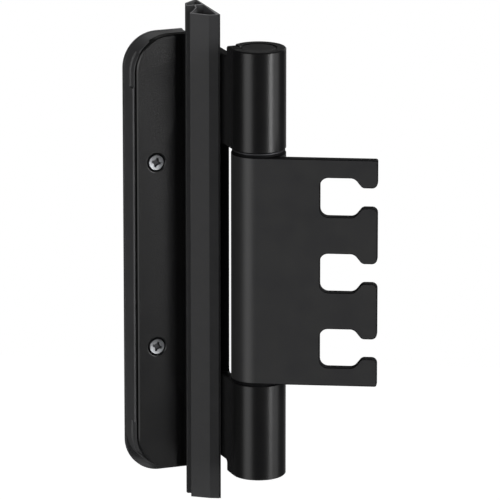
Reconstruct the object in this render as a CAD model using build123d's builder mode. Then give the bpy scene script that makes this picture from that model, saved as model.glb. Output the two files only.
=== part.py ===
from build123d import *

import math
import os

# Heavy-duty lift-in door hinge, in millimetres.
# Frame: +Z runs up the pivot axis and +Y points away from the viewer. The origin is
# on the axis at mid-height of the frame leaf, which reaches out along +X.
# The door side is drawn in its own plan, u along the door leaf towards its free edge
# and v square to its face, and stands half open as in the reference view.

# Pivot column
knuckle_diameter = 20.0
plate_thickness = 3.5
upper_knuckle_length = 37.2
lower_knuckle_length = 35.9
frame_leaf_height = 84.6
knuckle_chamfer = 0.5
bore_chamfer = 0.2
roll_gap = 0.4
roll_end_round = 0.6
door_angle = 26.0

# Pin and its bearings
pin_diameter = 10.0
pin_end_chamfer = 0.8
bush_length = 20.0
bush_flange_diameter = 19.4
bush_flange_thickness = 0.8
thrust_washer_diameter = 19.0
thrust_washer_thickness = 0.5
axial_play = 0.1
running_clearance = 0.03
fit_clearance = 0.02

# End caps
cap_height = 5.0
cap_disc = 1.6
cap_wall = 1.2
cap_clearance = 0.05
cap_chamfer = 0.35
cap_sunk = 0.15

# Pin locking screw
lock_screw_diameter = 4.0
lock_screw_drop = 18.0
lock_screw_sunk = 0.3
lock_screw_hex = 2.0
lock_screw_hex_depth = 2.2
lock_screw_point = 0.8

# Frame leaf with its open keyhole slots
frame_leaf_reach = 43.8
frame_leaf_corner = 0.8
leaf_edge_break = 0.3
slot_pitch = 28.2
slot_count = 3
slot_height = 14.5
slot_depth = 20.8
slot_neck_height = 7.4
slot_neck_length = 5.5
slot_flank_run = 2.84
slot_corner = 3.0
slot_throat = 1.0
slot_lip = 2.0

# Door leaf: face plate, bend, web and lugs from one plate
face_plate_depth = 23.5
face_plate_reach = 38.0
face_plate_above = 1.6
face_plate_below = 2.1
face_plate_corner = 13.0
face_plate_bevel = 0.4
bend_inner_radius = 0.8
web_top_step = 3.9
web_bottom_step = 4.0
web_step_fillet = 1.0
lug_depth = 6.4
web_cutout_depth = 12.6
web_cutout_corner = 1.2

# Screws that hold the door leaf on the mortise body
screw_reach = 30.7
screw_spacing = 69.5
screw_head_diameter = 6.3
screw_head_margin = 0.45
screw_head_sunk = 0.15
screw_shank_diameter = 3.5
screw_length = 9.0
screw_point = 1.2
screw_hole_spare = 0.6
screw_recess_width = 3.4
screw_recess_arms = 4
screw_recess_slot = 1.0
screw_recess_depth = 1.3
screw_turn = 18.0

# Mortise body, let into the edge of the door
body_edge = 16.5
body_rim_width = 0.8
leaf_clearance = 0.6
rim_depth = 25.3
body_back_depth = 35.6
body_top_inset = 0.6
body_bottom_inset = 0.2
body_corner = 13.0
flange_thickness = 1.9
flange_drop = 3.5
relief_depth = 2.7
relief_start = 63.0
relief_turn = 35.0
pocket_floor = 3.6
pocket_wall = 3.2
pocket_corner = 3.0
rib_thickness = 2.4
boss_diameter = 9.0
fixing_hole_diameter = 5.2
fixing_sink_diameter = 9.6
fixing_spacing_inner = 34.0
fixing_spacing_outer = 128.0

# Hollow rubber seal in the corner of the door leaf
seal_wall = 0.85
seal_web_gap = 0.35
seal_leaf_gap = 1.4
seal_foot_setback = 5.2
seal_foot_width = 4.3
seal_foot_flare = 0.2
seal_foot_height = 1.7
seal_groove_depth = 2.7
seal_groove_height = 2.9
seal_neck_height = 1.75
seal_head_root = 0.65
seal_head_overhang = 1.65
seal_head_reach = 9.7
seal_head_depth = 6.15
seal_lip_width = 0.6
seal_lip_groove = 0.7
seal_lip_groove_depth = 0.6
seal_edge_round = 0.2
seal_above = 10.5
seal_below = 12.0
seal_cut_rise = 0.41
seal_cut_lean = 0.27

# Radii and heights of the column
knuckle_radius = knuckle_diameter / 2
bore_radius = knuckle_radius - plate_thickness
pin_radius = pin_diameter / 2
upper_gap = bush_flange_thickness + thrust_washer_thickness + axial_play
lower_gap = bush_flange_thickness + axial_play
leaf_top = frame_leaf_height / 2
leaf_bottom = -frame_leaf_height / 2
upper_lug_bottom = leaf_top + upper_gap
knuckle_top = upper_lug_bottom + upper_knuckle_length
lower_lug_top = leaf_bottom - lower_gap
knuckle_bottom = lower_lug_top - lower_knuckle_length

# Heights of the door side
plate_top = knuckle_top + face_plate_above
plate_bottom = knuckle_bottom - face_plate_below
plate_middle = (plate_top + plate_bottom) / 2
web_top = knuckle_top - web_top_step
web_bottom = knuckle_bottom + web_bottom_step
body_top = plate_top - body_top_inset
body_bottom = plate_bottom + body_bottom_inset
lock_height = knuckle_top - lock_screw_drop

# Places across the door side
plate_back_depth = face_plate_depth + plate_thickness
bend_outer_radius = bend_inner_radius + plate_thickness
bend_end = bore_radius + bend_outer_radius
bend_centre = (bend_end, bend_inner_radius - face_plate_depth)
body_reach = face_plate_reach + leaf_clearance + body_rim_width

# The door plan looks down the pivot axis with u and v as its x and y. A door face
# plane stands across it: x along u, y straight up, and its offset runs to the rear.
door_turn = math.radians(door_angle)
u_direction = (-math.cos(door_turn), -math.sin(door_turn), 0)
rear_direction = (-math.sin(door_turn), math.cos(door_turn), 0)
DOOR_PLAN = Plane(origin=(0, 0, 0), x_dir=u_direction, z_dir=(0, 0, 1))
DOOR_FACE = Plane(origin=(0, 0, 0), x_dir=u_direction, z_dir=rear_direction)
lock_plane = Plane(origin=(0, 0, lock_height), x_dir=u_direction, z_dir=rear_direction)

os.makedirs("parts", exist_ok=True)


def door_face(depth):
    """Give the plane across the door side that lies this far behind the pivot axis."""
    return DOOR_FACE.offset(depth)


def door_axis(reach, height, depth):
    """Give a plane facing the front at a point of the door side, for holes and screws."""
    point = door_face(depth).from_local_coords((reach, height, 0))
    return Plane(origin=point, x_dir=u_direction, z_dir=-Vector(*rear_direction))


def at_radius(edges, radius):
    """Pick the circular edges of one radius."""
    return edges.filter_by(GeomType.CIRCLE).filter_by(lambda e: abs(e.radius - radius) < 1e-4)


def ring_profile(inner, outer, bottom, top):
    """Draw the section of a ring or tube in the active sketch, with x as its radius."""
    with Locations(((inner + outer) / 2, (bottom + top) / 2)):
        Rectangle(outer - inner, top - bottom)


def save(piece, label):
    """Label a finished piece and write it to its own file."""
    piece.part.label = label
    export_step(piece.part, f"parts/{label}.step")


# Frame leaf. The plate comes in tangent to the front of the knuckle, rolls round the
# pin and butts against its own rear face. Three open keyhole slots cut its free edge.
slot_rim = frame_leaf_reach - slot_depth
slot_throat_start = frame_leaf_reach - slot_neck_length
slot_flank_start = slot_throat_start - slot_flank_run
slot_mouth = frame_leaf_reach + slot_lip

with BuildSketch() as slot:
    with BuildLine():
        Polyline(
            (slot_rim, -slot_height / 2),
            (slot_flank_start, -slot_height / 2),
            (slot_throat_start, -slot_neck_height / 2),
            (slot_mouth, -slot_neck_height / 2),
            (slot_mouth, slot_neck_height / 2),
            (slot_throat_start, slot_neck_height / 2),
            (slot_flank_start, slot_height / 2),
            (slot_rim, slot_height / 2),
            close=True,
        )
    make_face()
    slot_columns = slot.vertices().group_by(Axis.X)
    fillet(slot_columns[0] + slot_columns[1], slot_corner)
    fillet(slot.vertices().group_by(Axis.X)[-2], slot_throat)

with BuildPart() as frame_leaf:
    with BuildSketch(Plane.XZ.offset(bore_radius)) as wing:
        with Locations((frame_leaf_reach / 2, 0)):
            Rectangle(frame_leaf_reach, frame_leaf_height)
        with GridLocations(0, slot_pitch, 1, slot_count):
            add(slot.sketch, mode=Mode.SUBTRACT)
        free_edge = wing.vertices().group_by(Axis.X)[-1].sort_by(Axis.Y)
        fillet(free_edge[1:-1], slot_lip)
        free_edge = wing.vertices().group_by(Axis.X)[-1].sort_by(Axis.Y)
        fillet([free_edge[0], free_edge[-1]], frame_leaf_corner)
    extrude(amount=plate_thickness)
    with BuildSketch(Plane.XY.offset(leaf_bottom)):
        Circle(knuckle_radius)
        Circle(bore_radius, mode=Mode.SUBTRACT)
    extrude(amount=frame_leaf_height)
    with BuildSketch(Plane.XY.offset(leaf_bottom)):
        with Locations((0, roll_gap - bore_radius)):
            Rectangle(knuckle_radius, roll_gap, align=(Align.MIN, Align.MAX))
    extrude(amount=frame_leaf_height, mode=Mode.SUBTRACT)
    front_rim = frame_leaf.faces().filter_by(Plane.XZ).sort_by(Axis.Y)[0].outer_wire().edges()
    front_rim = front_rim.filter_by(lambda e: e.center().X > frame_leaf_corner)
    chamfer(front_rim + at_radius(frame_leaf.edges(), knuckle_radius), leaf_edge_break)
save(frame_leaf, "frame_leaf")

# Door leaf. One plate is rolled into the two outer knuckles, runs back as a web and
# bends square into the face plate. A window in the web lets the frame leaf swing in.
screw_sink_radius = screw_head_diameter / 2 + screw_head_margin
screw_heights = (plate_middle - screw_spacing / 2, plate_middle + screw_spacing / 2)

with BuildPart() as door_leaf:
    with BuildSketch(door_face(face_plate_depth)) as face_plate:
        with Locations((bend_end, plate_bottom)):
            Rectangle(
                face_plate_reach - bend_end,
                plate_top - plate_bottom,
                align=(Align.MIN, Align.MIN),
            )
        fillet(face_plate.vertices().group_by(Axis.X)[-1], face_plate_corner)
    extrude(amount=plate_thickness)
    plate_front = door_leaf.faces().sort_by(Axis(origin=(0, 0, 0), direction=rear_direction))[0]
    bevel_edges = plate_front.outer_wire().edges().filter_by(
        lambda e: DOOR_PLAN.to_local_coords(e.center()).X > bend_end + face_plate_bevel
    )
    chamfer(bevel_edges, face_plate_bevel)
    with BuildSketch(DOOR_PLAN.offset(web_bottom)):
        with BuildLine():
            inner_bend = CenterArc(bend_centre, bend_inner_radius, 180, 90)
            outer_bend = CenterArc(bend_centre, bend_outer_radius, 180, 90)
            Polyline(inner_bend @ 0, (knuckle_radius, 0), (bore_radius, 0), outer_bend @ 0)
            Line(inner_bend @ 1, outer_bend @ 1)
        make_face()
    extrude(amount=web_top - web_bottom)
    with BuildSketch(DOOR_PLAN.offset(lower_lug_top)):
        with Locations((bore_radius - fit_clearance, -web_cutout_depth)):
            Rectangle(
                plate_thickness + 2 * fit_clearance,
                web_cutout_depth + fit_clearance,
                align=(Align.MIN, Align.MIN),
            )
    extrude(amount=upper_lug_bottom - lower_lug_top, mode=Mode.SUBTRACT)
    window_corners = door_leaf.edges().filter_by(
        lambda e: abs(DOOR_PLAN.to_local_coords(e.center()).Y + web_cutout_depth) < 1e-4
        and min(abs(e.center().Z - upper_lug_bottom), abs(e.center().Z - lower_lug_top)) < 1e-4
    )
    fillet(window_corners, web_cutout_corner)
    for lug_bottom, lug_top in ((knuckle_bottom, lower_lug_top), (upper_lug_bottom, knuckle_top)):
        with BuildSketch(DOOR_PLAN.offset(lug_bottom)) as lug_plan:
            Circle(knuckle_radius)
            Circle(bore_radius, mode=Mode.SUBTRACT)
            with Locations((bore_radius, -lug_depth)):
                Rectangle(plate_thickness, lug_depth, align=(Align.MIN, Align.MIN))
            with Locations((bore_radius - roll_gap, 0)):
                Rectangle(
                    roll_gap,
                    knuckle_radius,
                    align=(Align.MIN, Align.MAX),
                    mode=Mode.SUBTRACT,
                )
            roll_ends = lug_plan.vertices().filter_by(
                lambda v: abs(v.X - bore_radius + roll_gap) < 1e-4
            )
            fillet(roll_ends.sort_by(Axis.Y)[0], roll_end_round)
        extrude(amount=lug_top - lug_bottom)
    lug_ends = (knuckle_bottom, lower_lug_top, upper_lug_bottom, knuckle_top)
    lug_rims = at_radius(door_leaf.edges(), knuckle_radius).filter_by(
        lambda e: min(abs(e.center().Z - end) for end in lug_ends) < 1e-4
    )
    chamfer(lug_rims, knuckle_chamfer)
    bore_mouths = at_radius(door_leaf.edges(), bore_radius).sort_by(Axis.Z)
    chamfer([bore_mouths[0], bore_mouths[-1]], bore_chamfer)
    web_steps = door_leaf.edges().filter_by(
        lambda e: abs(DOOR_PLAN.to_local_coords(e.center()).Y + lug_depth) < 1e-4
        and min(abs(e.center().Z - web_top), abs(e.center().Z - web_bottom)) < 1e-4
    )
    fillet(web_steps, web_step_fillet)
    for height in screw_heights:
        with Locations(door_axis(screw_reach, height, face_plate_depth)):
            CounterSinkHole(
                radius=screw_shank_diameter / 2 + running_clearance,
                counter_sink_radius=screw_sink_radius,
                depth=plate_thickness,
            )
    with BuildSketch(lock_plane):
        Circle(lock_screw_diameter / 2 + fit_clearance)
    extrude(amount=knuckle_radius, mode=Mode.SUBTRACT)
save(door_leaf, "door_leaf")

# Mortise body. A die-cast shell let into the door edge: the face plate lies in its
# shallow recess, the rim is cut back at both corners, a flange closes the back, and the
# tray inside carries two screw bosses.
body_middle = (body_top + body_bottom) / 2
relief_width = body_rim_width + leaf_clearance
body_corner_reach = body_reach - body_corner
body_corner_height = (body_top - body_bottom) / 2 - body_corner
pocket_depth = body_back_depth - pocket_floor - plate_back_depth
pocket_reach = body_reach - body_rim_width - leaf_clearance - pocket_wall
pocket_edge = body_edge + pocket_wall
fixing_reach = (pocket_edge + pocket_reach) / 2
screw_hole_depth = face_plate_depth + screw_head_sunk + screw_length + screw_hole_spare

with BuildPart() as mortise_body:
    for depth, bottom in (
        (rim_depth, body_bottom),
        (body_back_depth - flange_thickness, body_bottom - flange_drop),
    ):
        with BuildSketch(door_face(depth)) as outline:
            with Locations((body_edge, bottom)):
                Rectangle(body_reach - body_edge, body_top - bottom, align=(Align.MIN, Align.MIN))
            fillet(outline.vertices().group_by(Axis.X)[-1], body_corner)
        extrude(amount=body_back_depth - depth)
    with BuildSketch(door_face(rim_depth)) as recess:
        with Locations((body_edge - leaf_clearance, plate_bottom - leaf_clearance)):
            Rectangle(
                face_plate_reach + 2 * leaf_clearance - body_edge,
                plate_top - plate_bottom + 2 * leaf_clearance,
                align=(Align.MIN, Align.MIN),
            )
        fillet(recess.vertices().group_by(Axis.X)[-1], face_plate_corner + leaf_clearance)
    extrude(amount=plate_back_depth - rim_depth, mode=Mode.SUBTRACT)
    with BuildSketch(door_face(rim_depth)):
        for end in (1, -1):
            corner = (body_corner_reach, body_middle + end * body_corner_height)
            with BuildLine():
                start = (body_reach, body_middle + end * relief_start)
                Line(start, (body_reach, corner[1]))
                outer_arc = CenterArc(corner, body_corner, 0, end * relief_turn)
                inner_arc = CenterArc(corner, body_corner - relief_width, 0, end * relief_turn)
                Line(outer_arc @ 1, inner_arc @ 1)
                inner_run = Line(inner_arc @ 0, (body_reach - relief_width, start[1]))
                Line(inner_run @ 1, start)
            make_face()
    extrude(amount=relief_depth, mode=Mode.SUBTRACT)
    with BuildSketch(door_face(plate_back_depth)) as pocket:
        with Locations((pocket_edge, body_middle)):
            Rectangle(
                pocket_reach - pocket_edge,
                body_top - body_bottom - 2 * pocket_wall,
                align=(Align.MIN, Align.CENTER),
            )
        fillet(pocket.vertices().group_by(Axis.X)[0], pocket_corner)
        fillet(pocket.vertices().group_by(Axis.X)[-1], body_corner - pocket_wall)
        for height in screw_heights:
            with Locations((screw_reach, height)):
                Circle(boss_diameter / 2, mode=Mode.SUBTRACT)
            with Locations((fixing_reach, height)):
                Rectangle(pocket_reach - pocket_edge, rib_thickness, mode=Mode.SUBTRACT)
    extrude(amount=pocket_depth, mode=Mode.SUBTRACT)
    for height in screw_heights:
        with BuildSketch(door_face(plate_back_depth)):
            with Locations((screw_reach, height)):
                Circle(screw_shank_diameter / 2 + fit_clearance)
        extrude(amount=screw_hole_depth - plate_back_depth, mode=Mode.SUBTRACT)
    for spacing in (fixing_spacing_inner, fixing_spacing_outer):
        for side in (-1, 1):
            height = plate_middle + side * spacing / 2
            with Locations(door_axis(fixing_reach, height, body_back_depth - pocket_floor)):
                CounterSinkHole(
                    radius=fixing_hole_diameter / 2,
                    counter_sink_radius=fixing_sink_diameter / 2,
                    depth=pocket_floor,
                )
save(mortise_body, "mortise_body")

# Countersunk screws, drawn once with the head at the origin and the shank downwards
screw_head_radius = screw_head_diameter / 2
screw_shank_radius = screw_shank_diameter / 2
head_land = screw_head_margin - screw_head_sunk - fit_clearance
head_height = head_land + screw_head_radius - screw_shank_radius

with BuildPart() as leaf_screw:
    with BuildSketch(Plane.XZ):
        with BuildLine():
            Polyline(
                (0, 0),
                (screw_head_radius, 0),
                (screw_head_radius, -head_land),
                (screw_shank_radius, -head_height),
                (screw_shank_radius, screw_point - screw_length),
                (0, -screw_length),
                close=True,
            )
        make_face()
    revolve(axis=Axis.Z)
    with BuildSketch(Plane.XY):
        with PolarLocations(0, screw_recess_arms, start_angle=screw_turn):
            SlotOverall(screw_recess_width, screw_recess_slot)
    extrude(amount=-screw_recess_depth, mode=Mode.SUBTRACT)

for label, height in (("upper_leaf_screw", screw_heights[1]), ("lower_leaf_screw", screw_heights[0])):
    with BuildPart(door_axis(screw_reach, height, face_plate_depth + screw_head_sunk)) as fitted_screw:
        add(leaf_screw.part)
    save(fitted_screw, label)

# Hollow rubber seal. Its foot lies on the face plate, its long wall leans up to the lip
# beside the web, and its head presses on the frame when the door shuts. A groove parts
# the lip from the front wall's bead. The top is mitred along a sloping plane and the
# bottom is cut square.
foot_v = -face_plate_depth
foot_heel = knuckle_radius + seal_foot_setback
foot_toe = foot_heel + seal_foot_width
shoulder = (foot_toe + seal_foot_flare, foot_v + seal_foot_height)
groove_u = shoulder[0] - seal_groove_depth
groove_corner = (groove_u, foot_v + seal_groove_height)
lip = (knuckle_radius + seal_web_gap, -knuckle_radius - seal_leaf_gap)
head = (lip[0] + seal_head_reach, lip[1] - seal_head_depth)
lip_groove = (lip[0] + seal_lip_width, lip[1] - seal_lip_groove_depth)
bead = (lip_groove[0] + seal_lip_groove, lip[1])

with BuildSketch() as seal_outline:
    with BuildLine():
        Polyline(
            (foot_heel, foot_v),
            (foot_toe, foot_v),
            shoulder,
            groove_corner,
            (groove_u, head[1] - seal_neck_height),
            (head[0] - seal_head_overhang, head[1] - seal_head_root),
            head,
            bead,
            lip,
            close=True,
        )
    make_face()
with BuildSketch() as seal_hollow:
    add(seal_outline.sketch)
    offset(amount=-seal_wall, mode=Mode.REPLACE)
with BuildSketch() as seal_section:
    add(seal_outline.sketch)
    with Locations(lip_groove):
        Rectangle(
            seal_lip_groove,
            2 * seal_lip_groove_depth,
            align=(Align.MIN, Align.MIN),
            mode=Mode.SUBTRACT,
        )

foot_wall = Vector(*groove_corner) - Vector(*shoulder)
long_wall = Vector(*lip) - Vector(foot_heel, foot_v)
foot_wall_start = Vector(foot_heel, foot_v) - Vector(*shoulder)
foot_wall_length = foot_wall_start.cross(long_wall).Z / foot_wall.cross(long_wall).Z * foot_wall.length
foot_wall_angle = math.degrees(math.atan2(foot_wall.Y, foot_wall.X))

with BuildPart() as seal_profile:
    with BuildSketch(DOOR_PLAN.offset(knuckle_bottom - seal_below)) as section:
        add(seal_section.sketch)
        fillet(section.vertices(), seal_edge_round)
        add(seal_hollow.sketch, mode=Mode.SUBTRACT)
        with Locations(Location((*shoulder, 0), (0, 0, foot_wall_angle))):
            with Locations((seal_wall / 2, 0)):
                Rectangle(foot_wall_length - seal_wall, seal_wall, align=(Align.MIN, Align.MIN))
    extrude(amount=knuckle_top - knuckle_bottom + seal_above + seal_below + face_plate_depth)
    cut_origin = DOOR_PLAN.from_local_coords((*lip, knuckle_top + seal_above))
    cut_lean = Vector(*u_direction) * seal_cut_lean - Vector(*rear_direction) * seal_cut_rise
    split(bisect_by=Plane(origin=cut_origin, z_dir=Vector(0, 0, 1) + cut_lean), keep=Keep.BOTTOM)
save(seal_profile, "seal_profile")

# Pivot column. The pin stands fast in sleeves inside the two outer knuckles and turns in
# flanged bushes at both ends of the middle one; a washer takes the thrust at the top.
cap_seat = cap_height + cap_sunk
pin_bottom = knuckle_bottom + cap_seat
pin_top = knuckle_top - cap_seat
sleeve_radius = bore_radius - fit_clearance

with BuildPart() as hinge_pin:
    with BuildSketch(Plane.XY.offset(pin_bottom)):
        Circle(pin_radius)
    extrude(amount=pin_top - pin_bottom)
    chamfer(hinge_pin.edges().filter_by(GeomType.CIRCLE), pin_end_chamfer)
save(hinge_pin, "hinge_pin")

for label, bottom, top in (
    ("lower_pin_sleeve", pin_bottom, lower_lug_top),
    ("upper_pin_sleeve", upper_lug_bottom, pin_top),
):
    with BuildPart() as pin_sleeve:
        with BuildSketch(Plane.XY.offset(bottom)):
            Circle(sleeve_radius)
            Circle(pin_radius + fit_clearance, mode=Mode.SUBTRACT)
        extrude(amount=top - bottom)
        if bottom < lock_height < top:
            with BuildSketch(lock_plane):
                Circle(lock_screw_diameter / 2 + fit_clearance)
            extrude(amount=knuckle_radius, mode=Mode.SUBTRACT)
    save(pin_sleeve, label)

for label, seat, outward in (
    ("lower_bearing_bush", leaf_bottom, -1),
    ("upper_bearing_bush", leaf_top, 1),
):
    with BuildPart() as bearing_bush:
        with BuildSketch(Plane.XZ):
            ring_profile(
                pin_radius + running_clearance,
                sleeve_radius,
                seat - outward * bush_length,
                seat + outward * bush_flange_thickness,
            )
            ring_profile(
                pin_radius + running_clearance,
                bush_flange_diameter / 2,
                seat,
                seat + outward * bush_flange_thickness,
            )
        revolve(axis=Axis.Z)
    save(bearing_bush, label)

with BuildPart() as thrust_washer:
    with BuildSketch(Plane.XY.offset(leaf_top + bush_flange_thickness)):
        Circle(thrust_washer_diameter / 2)
        Circle(pin_radius + running_clearance, mode=Mode.SUBTRACT)
    extrude(amount=thrust_washer_thickness)
save(thrust_washer, "upper_thrust_washer")

# Cup-shaped plugs close both ends of the bore and sit on the sleeves
cap_radius = bore_radius - cap_clearance
for label, mouth, inward in (
    ("bottom_cap", knuckle_bottom + cap_sunk, 1),
    ("top_cap", knuckle_top - cap_sunk, -1),
):
    with BuildPart() as end_cap:
        with BuildSketch(Plane.XZ):
            ring_profile(0, cap_radius, mouth, mouth + inward * cap_disc)
            ring_profile(cap_radius - cap_wall, cap_radius, mouth, mouth + inward * cap_height)
        revolve(axis=Axis.Z)
        mouth_rim = end_cap.edges().filter_by(GeomType.CIRCLE).sort_by(Axis.Z)
        chamfer(mouth_rim[0] if inward > 0 else mouth_rim[-1], cap_chamfer)
    save(end_cap, label)

# Grub screw through the rear of the upper knuckle and its sleeve, locking the pin
lock_outer = knuckle_radius - lock_screw_sunk
lock_inner = pin_radius + fit_clearance
with BuildPart() as pin_lock_screw:
    with BuildSketch(lock_plane.offset(lock_inner)):
        Circle(lock_screw_diameter / 2)
    extrude(amount=lock_outer - lock_inner)
    tip = pin_lock_screw.edges().filter_by(GeomType.CIRCLE).sort_by_distance((0, 0, lock_height))[0]
    chamfer(tip, lock_screw_point)
    with BuildSketch(lock_plane.offset(lock_outer)):
        RegularPolygon(lock_screw_hex / 2, 6, major_radius=False)
    extrude(amount=-lock_screw_hex_depth, mode=Mode.SUBTRACT)
save(pin_lock_screw, "pin_lock_screw")
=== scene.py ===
import logging
import math
from dataclasses import dataclass
from enum import Enum
from typing import Callable, Sequence

import bmesh
import bpy
import numpy as np
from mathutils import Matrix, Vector
from mathutils.geometry import delaunay_2d_cdt


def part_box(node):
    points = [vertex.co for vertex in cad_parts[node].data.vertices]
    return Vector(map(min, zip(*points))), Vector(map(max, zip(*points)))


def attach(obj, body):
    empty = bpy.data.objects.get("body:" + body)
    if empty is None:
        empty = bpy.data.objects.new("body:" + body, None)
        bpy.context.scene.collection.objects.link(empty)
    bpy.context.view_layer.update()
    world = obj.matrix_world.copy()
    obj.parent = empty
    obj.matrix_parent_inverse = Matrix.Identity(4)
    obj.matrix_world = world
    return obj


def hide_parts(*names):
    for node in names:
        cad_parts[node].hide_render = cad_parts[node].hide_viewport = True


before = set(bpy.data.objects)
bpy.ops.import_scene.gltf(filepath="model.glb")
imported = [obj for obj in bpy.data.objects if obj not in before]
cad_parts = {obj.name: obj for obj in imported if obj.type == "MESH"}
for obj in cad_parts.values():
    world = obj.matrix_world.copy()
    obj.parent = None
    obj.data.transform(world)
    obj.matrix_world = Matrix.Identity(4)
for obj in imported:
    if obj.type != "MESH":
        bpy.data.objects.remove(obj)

logging.basicConfig(level=logging.INFO, format="%(name)s: %(message)s")
log = logging.getLogger("door_hinge")

MM = 0.001
MICRON = 1e-6
FULL_TURN = 2 * math.pi
QUARTER_TURN = math.pi / 2
SMOOTH_LIMIT = math.radians(40)

# How near counts as the same: a place in millimetres, a share of an edge, and points in metres.
SAME_PLACE = 1e-6
SAME_SHARE = 1e-3
WELD_REACH = 1e-7
SLIVER_LENGTH = 1e-8

Pairs = Sequence[Sequence[float]]
Shape = Callable[[np.ndarray, np.ndarray, np.ndarray], np.ndarray]
Mesh = tuple[np.ndarray, list[np.ndarray]]

# Stations of a flat face, which bends nowhere.
NO_BENDS = np.array([])

# Kind of triangulation that fills the whole hull, before what lies outside the face is taken away.
WHOLE_HULL = 0

# Places of the Mix node's factor, two colours and result, which share names with its other kinds.
MIX_FACTOR, MIX_FIRST, MIX_SECOND, MIX_RESULT = 0, 6, 7, 2


def box_mm(node: str) -> np.ndarray:
    """Give a CAD node's lowest and highest corners in millimetres, as two rows."""
    return np.array([list(corner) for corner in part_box(node)]) / MM


# Sizes that the pieces share


@dataclass(frozen=True)
class Plate:
    """The steel plate that both leaves are rolled from, in millimetres."""

    thickness: float = 3.5
    knuckle_radius: float = 10.0
    roll_gap: float = 0.4
    roll_steps: int = 90
    seam_clear: float = 1.2
    flat_margin: float = 0.2

    @property
    def bore_radius(self) -> float:
        """Radius of the bore inside a rolled knuckle."""
        return self.knuckle_radius - self.thickness

    def roll_span(self, radius: np.ndarray) -> np.ndarray:
        """Angle that a fibre at this radius turns through before it butts on the flat plate."""
        # The roll ends in a plane that lies roll_gap inside the plate's inner face, so the angle
        # is a full turn less the arc cosine of that plane's distance over the radius.
        return FULL_TURN - np.arccos((self.bore_radius - self.roll_gap) / radius)

    @property
    def roll_length(self) -> float:
        """Developed length of the roll, measured half-way through the plate."""
        middle = self.knuckle_radius - self.thickness / 2
        return float(middle * self.roll_span(np.array(middle)))

    def rolled(self, along: np.ndarray, depth: np.ndarray) -> tuple[np.ndarray, np.ndarray]:
        """Give the radius and turn round the pin of a place along the blank and a depth in it."""
        # A fibre lies at radius = knuckle radius - depth. Left of the pivot line it turns by its
        # share of the roll's length times its whole span, and in the flat it doesn't turn.
        radius = self.knuckle_radius - depth
        return radius, np.clip(-along / self.roll_length, 0, None) * self.roll_span(radius)

    def roll_lines(self) -> np.ndarray:
        """Give the places along the blank where the roll bends, and one just past the pivot line."""
        bends = np.linspace(-self.roll_length + self.seam_clear, 0, self.roll_steps)
        return np.append(bends, self.flat_margin)


@dataclass(frozen=True)
class FacePlate:
    """The door leaf's flat face, which the body and the seal are fitted to, in millimetres."""

    depth: float = 23.5
    reach: float = 38.0
    corner: float = 13.0


@dataclass(frozen=True)
class Column:
    """Heights of the knuckle stack and the door side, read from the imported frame."""

    leaf_top: float
    leaf_bottom: float
    upper_lug_bottom: float
    lower_lug_top: float
    knuckle_top: float
    knuckle_bottom: float
    plate_top: float
    plate_bottom: float

    @classmethod
    def from_frame(cls, bush_flange: float, cap_sunk: float = 0.15, axial_play: float = 0.1) -> "Column":
        """Read the heights from the CAD nodes' boxes.

        Args:
            bush_flange: Thickness of a bearing bush's flange.
            cap_sunk: How far the end caps sit inside the bore's mouth.
            axial_play: Gap left in the stack at each end of the middle knuckle.

        Returns:
            The heights in millimetres.
        """
        leaf, door = box_mm("frame_leaf")[:, 2], box_mm("door_leaf")[:, 2]
        return cls(
            leaf_top=leaf[1],
            leaf_bottom=leaf[0],
            upper_lug_bottom=box_mm("upper_thrust_washer")[1, 2] + axial_play,
            lower_lug_top=leaf[0] - bush_flange - axial_play,
            knuckle_top=box_mm("top_cap")[1, 2] + cap_sunk,
            knuckle_bottom=box_mm("bottom_cap")[0, 2] - cap_sunk,
            plate_top=door[1],
            plate_bottom=door[0],
        )

    @property
    def plate_middle(self) -> float:
        """Mid-height of the face plate."""
        return (self.plate_top + self.plate_bottom) / 2


PLATE = Plate()
FACE = FacePlate()
BUSH_FLANGE = 0.8
COLUMN = Column.from_frame(BUSH_FLANGE)
DOOR_ANGLE = math.radians(26.0)
DOOR_U = np.array([-math.cos(DOOR_ANGLE), -math.sin(DOOR_ANGLE), 0.0])
DOOR_V = np.array([math.sin(DOOR_ANGLE), -math.cos(DOOR_ANGLE), 0.0])
UP = np.array([0.0, 0.0, 1.0])


def door_side(u: np.ndarray, v: np.ndarray, z: np.ndarray) -> np.ndarray:
    """Turn the door side's plan coordinates and height into frame coordinates.

    Args:
        u: Distance along the door leaf towards its free edge.
        v: Distance in front of the pivot axis, square to the face plate.
        z: Height.

    Returns:
        Points u * DOOR_U + v * DOOR_V + z * UP, with x, y, z on the last axis.
    """
    u, v, z = np.broadcast_arrays(u, v, z)
    return u[..., None] * DOOR_U + v[..., None] * DOOR_V + z[..., None] * UP


# Outlines and surfaces


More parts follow.
